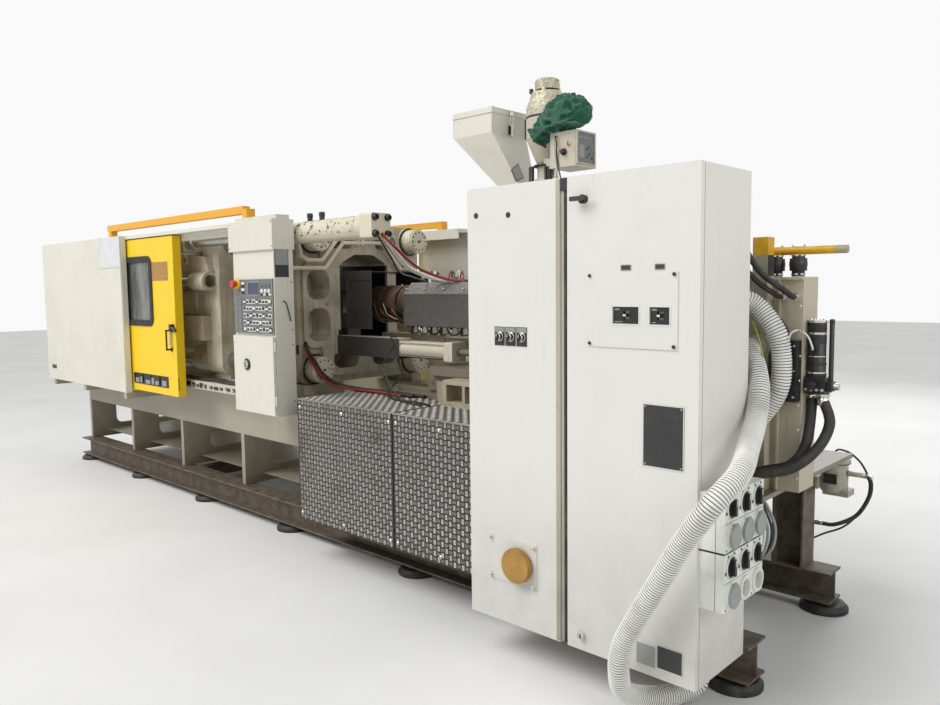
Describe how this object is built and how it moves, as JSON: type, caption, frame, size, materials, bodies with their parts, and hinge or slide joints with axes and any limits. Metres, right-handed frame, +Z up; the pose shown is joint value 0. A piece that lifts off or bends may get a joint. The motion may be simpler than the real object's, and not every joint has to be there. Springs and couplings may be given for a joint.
{
  "type": "injection moulding machine",
  "caption": "Horizontal injection moulding machine with sliding guard doors, tie-bar clamp, barrel and screw, hoppers and an electric cabinet with an outside hose.",
  "frame": {"origin": "Middle of the bounding box seen from above, on the floor under the levelling pads", "axes": "+X along the machine to the injection end and its cabinet, +Y away from the operator, +Z up"},
  "size_m": [6.72, 1.9147, 2.648],
  "materials": {
    "paint_beige": "satin",
    "paint_cream": "satin",
    "casting_beige": "satin",
    "steel_rusty": "rough",
    "rubber_black": "matte",
    "steel_bright": "polished",
    "panel_grey": "satin",
    "paint_yellow": "satin",
    "chequer_steel": "satin",
    "cabinet_white": "satin",
    "plastic_pale": "satin",
    "machine_grey": "satin",
    "machine_black": "satin",
    "hose_white": "matte",
    "pane_smoked": "gloss",
    "plastic_red": "gloss",
    "brass_tan": "satin",
    "plastic_black": "satin",
    "plastic_grey": "satin",
    "heater_steel": "rough",
    "galvanised": "satin",
    "cloth_green": "matte"
  },
  "bodies": {
    "machine": {"bed": "paint_beige", "floor_beams": "steel_rusty", "levelling_pads": "rubber_black", "stationary_platen": "casting_beige", "cylinder_platen": "casting_beige", "tie_bars": "steel_bright", "hydraulic_cylinders": "paint_cream", "front_guard": "paint_cream", "rear_guard": "paint_cream", "control_column": "paint_cream", "operator_panel": "panel_grey", "top_beams": "paint_yellow", "tread_plates": "chequer_steel", "cabinet_body": "cabinet_white", "switchgear": "panel_grey", "outlet_boxes": "plastic_pale", "injection_base": "paint_beige", "power_pack": "machine_grey", "valve_stack": "machine_black", "rear_housing": "paint_beige", "cabinet_hose": "hose_white", "rear_conduit": "hose_white", "oil_hoses": "rubber_black"},
    "clamp": {"moving_platen": "casting_beige", "clamp_ram": "steel_bright"},
    "ejector_body": {"ejector": "steel_bright"},
    "front_door_body": {"front_door": "paint_yellow", "front_pane": "pane_smoked"},
    "rear_door_body": {"rear_door": "paint_yellow"},
    "column_cover_body": {"column_cover": "paint_cream"},
    "estop_body": {"estop_button": "plastic_red"},
    "cab_left_body": {"cab_door_left": "cabinet_white"},
    "cab_right_body": {"cab_door_right": "cabinet_white"},
    "t_handle_body": {"t_handle": "machine_grey"},
    "disc_body": {"door_disc": "brass_tan"},
    "selector_1_body": {"selector_1": "plastic_black"},
    "selector_2_body": {"selector_2": "plastic_black"},
    "selector_3_body": {"selector_3": "plastic_black"},
    "breaker_1_body": {"breaker_1": "plastic_black"},
    "breaker_2_body": {"breaker_2": "plastic_black"},
    "dial_1_body": {"dial_1": "plastic_black"},
    "dial_2_body": {"dial_2": "plastic_black"},
    "dial_3_body": {"dial_3": "plastic_black"},
    "dial_4_body": {"dial_4": "plastic_black"},
    "dial_5_body": {"dial_5": "plastic_black"},
    "dial_6_body": {"dial_6": "plastic_black"},
    "cap_1_body": {"cap_1": "plastic_grey"},
    "cap_2_body": {"cap_2": "plastic_grey"},
    "cap_3_body": {"cap_3": "plastic_grey"},
    "cap_4_body": {"cap_4": "plastic_grey"},
    "injection": {"carriage": "paint_beige", "barrel": "heater_steel", "barrel_cover": "galvanised", "hopper": "paint_cream", "dryer": "paint_cream", "dust_bag": "cloth_green"},
    "hopper_lid_body": {"hopper_lid": "paint_cream"},
    "ram_body": {"injection_ram": "machine_grey"},
    "screw_body": {"screw": "steel_bright"},
    "purge_body": {"purge_guard": "galvanised"}
  },
  "joints": [
    {"name": "clamp_stroke", "type": "slide", "parent": "machine", "child": "clamp", "axis": [1, 0, 0], "range_m": [-0.43, 0.27]},
    {"name": "ejector_stroke", "type": "slide", "parent": "clamp", "child": "ejector_body", "axis": [1, 0, 0], "range_m": [0, 0.14]},
    {"name": "front_door_slide", "type": "slide", "parent": "machine", "child": "front_door_body", "axis": [1, 0, 0], "range_m": [-0.64, 0.81]},
    {"name": "rear_door_slide", "type": "slide", "parent": "machine", "child": "rear_door_body", "axis": [1, 0, 0], "range_m": [-1.5, 0]},
    {"name": "column_cover_hinge", "type": "hinge", "parent": "machine", "child": "column_cover_body", "pos_m": [0.379, -0.723, 1.05], "axis": [0, 0, 1], "range_deg": [0, 100]},
    {"name": "estop_push", "type": "slide", "parent": "machine", "child": "estop_body", "axis": [0, 1, 0], "range_m": [0, 0.006]},
    {"name": "cab_left_hinge", "type": "hinge", "parent": "machine", "child": "cab_left_body", "pos_m": [2.557, -0.865, 1.075], "axis": [0, 0, 1], "range_deg": [0, 105]},
    {"name": "cab_right_hinge", "type": "hinge", "parent": "machine", "child": "cab_right_body", "pos_m": [3.13, -0.865, 1.075], "axis": [0, 0, 1], "range_deg": [0, 9]},
    {"name": "t_handle_turn", "type": "hinge", "parent": "cab_right_body", "child": "t_handle_body", "pos_m": [2.664, -0.885, 1.888], "axis": [0, 1, 0], "range_deg": [0, 90]},
    {"name": "door_disc_turn", "type": "hinge", "parent": "cab_left_body", "child": "disc_body", "pos_m": [2.353, -0.885, 0.44], "axis": [0, 1, 0], "range_deg": [-90, 90]},
    {"name": "selector_1_turn", "type": "hinge", "parent": "cab_left_body", "child": "selector_1_body", "pos_m": [2.255, -0.875, 1.37], "axis": [0, 1, 0], "range_deg": [-45, 45]},
    {"name": "selector_2_turn", "type": "hinge", "parent": "cab_left_body", "child": "selector_2_body", "pos_m": [2.313, -0.875, 1.37], "axis": [0, 1, 0], "range_deg": [-45, 45]},
    {"name": "selector_3_turn", "type": "hinge", "parent": "cab_left_body", "child": "selector_3_body", "pos_m": [2.371, -0.875, 1.37], "axis": [0, 1, 0], "range_deg": [-45, 45]},
    {"name": "breaker_1_throw", "type": "hinge", "parent": "cab_right_body", "child": "breaker_1_body", "pos_m": [2.849, -0.8573, 1.466], "axis": [1, 0, 0], "range_deg": [-35, 35]},
    {"name": "breaker_2_throw", "type": "hinge", "parent": "cab_right_body", "child": "breaker_2_body", "pos_m": [2.984, -0.8573, 1.466], "axis": [1, 0, 0], "range_deg": [-35, 35]},
    {"name": "dial_1_turn", "type": "hinge", "parent": "machine", "child": "dial_1_body", "pos_m": [3.228, -0.8025, 0.828], "axis": [1, 0, 0], "range_deg": [0, 90]},
    {"name": "dial_2_turn", "type": "hinge", "parent": "machine", "child": "dial_2_body", "pos_m": [3.228, -0.701, 0.828], "axis": [1, 0, 0], "range_deg": [0, 90]},
    {"name": "dial_3_turn", "type": "hinge", "parent": "machine", "child": "dial_3_body", "pos_m": [3.228, -0.5995, 0.828], "axis": [1, 0, 0], "range_deg": [0, 90]},
    {"name": "dial_4_turn", "type": "hinge", "parent": "machine", "child": "dial_4_body", "pos_m": [3.228, -0.8025, 0.623], "axis": [1, 0, 0], "range_deg": [0, 90]},
    {"name": "dial_5_turn", "type": "hinge", "parent": "machine", "child": "dial_5_body", "pos_m": [3.228, -0.701, 0.623], "axis": [1, 0, 0], "range_deg": [0, 90]},
    {"name": "dial_6_turn", "type": "hinge", "parent": "machine", "child": "dial_6_body", "pos_m": [3.228, -0.5995, 0.623], "axis": [1, 0, 0], "range_deg": [0, 90]},
    {"name": "cap_1_flap", "type": "hinge", "parent": "machine", "child": "cap_1_body", "pos_m": [3.241, -0.8025, 0.774], "axis": [0, -1, 0], "range_deg": [0, 110], "stiffness_Nm_per_rad": 0.05},
    {"name": "cap_2_flap", "type": "hinge", "parent": "machine", "child": "cap_2_body", "pos_m": [3.241, -0.701, 0.774], "axis": [0, -1, 0], "range_deg": [0, 110], "stiffness_Nm_per_rad": 0.05},
    {"name": "cap_3_flap", "type": "hinge", "parent": "machine", "child": "cap_3_body", "pos_m": [3.241, -0.5995, 0.774], "axis": [0, -1, 0], "range_deg": [0, 110], "stiffness_Nm_per_rad": 0.05},
    {"name": "cap_4_flap", "type": "hinge", "parent": "machine", "child": "cap_4_body", "pos_m": [3.241, -0.8025, 0.569], "axis": [0, -1, 0], "range_deg": [0, 110], "stiffness_Nm_per_rad": 0.05},
    {"name": "carriage_stroke", "type": "slide", "parent": "machine", "child": "injection", "axis": [1, 0, 0], "range_m": [-0.24, 0.1]},
    {"name": "hopper_lid_hinge", "type": "hinge", "parent": "injection", "child": "hopper_lid_body", "pos_m": [1.356, 0.238, 2.504], "axis": [-1, 0, 0], "range_deg": [0, 100]},
    {"name": "injection_stroke", "type": "slide", "parent": "injection", "child": "ram_body", "axis": [1, 0, 0], "range_m": [0, 0.22]},
    {"name": "screw_spin", "type": "hinge", "parent": "ram_body", "child": "screw_body", "pos_m": [1.63, 0.09, 1.474], "axis": [1, 0, 0], "continuous": true},
    {"name": "purge_guard_hinge", "type": "hinge", "parent": "machine", "child": "purge_body", "pos_m": [0.418, 0.315, 1.668], "axis": [-1, 0, 0], "range_deg": [0, 100]}
  ]
}
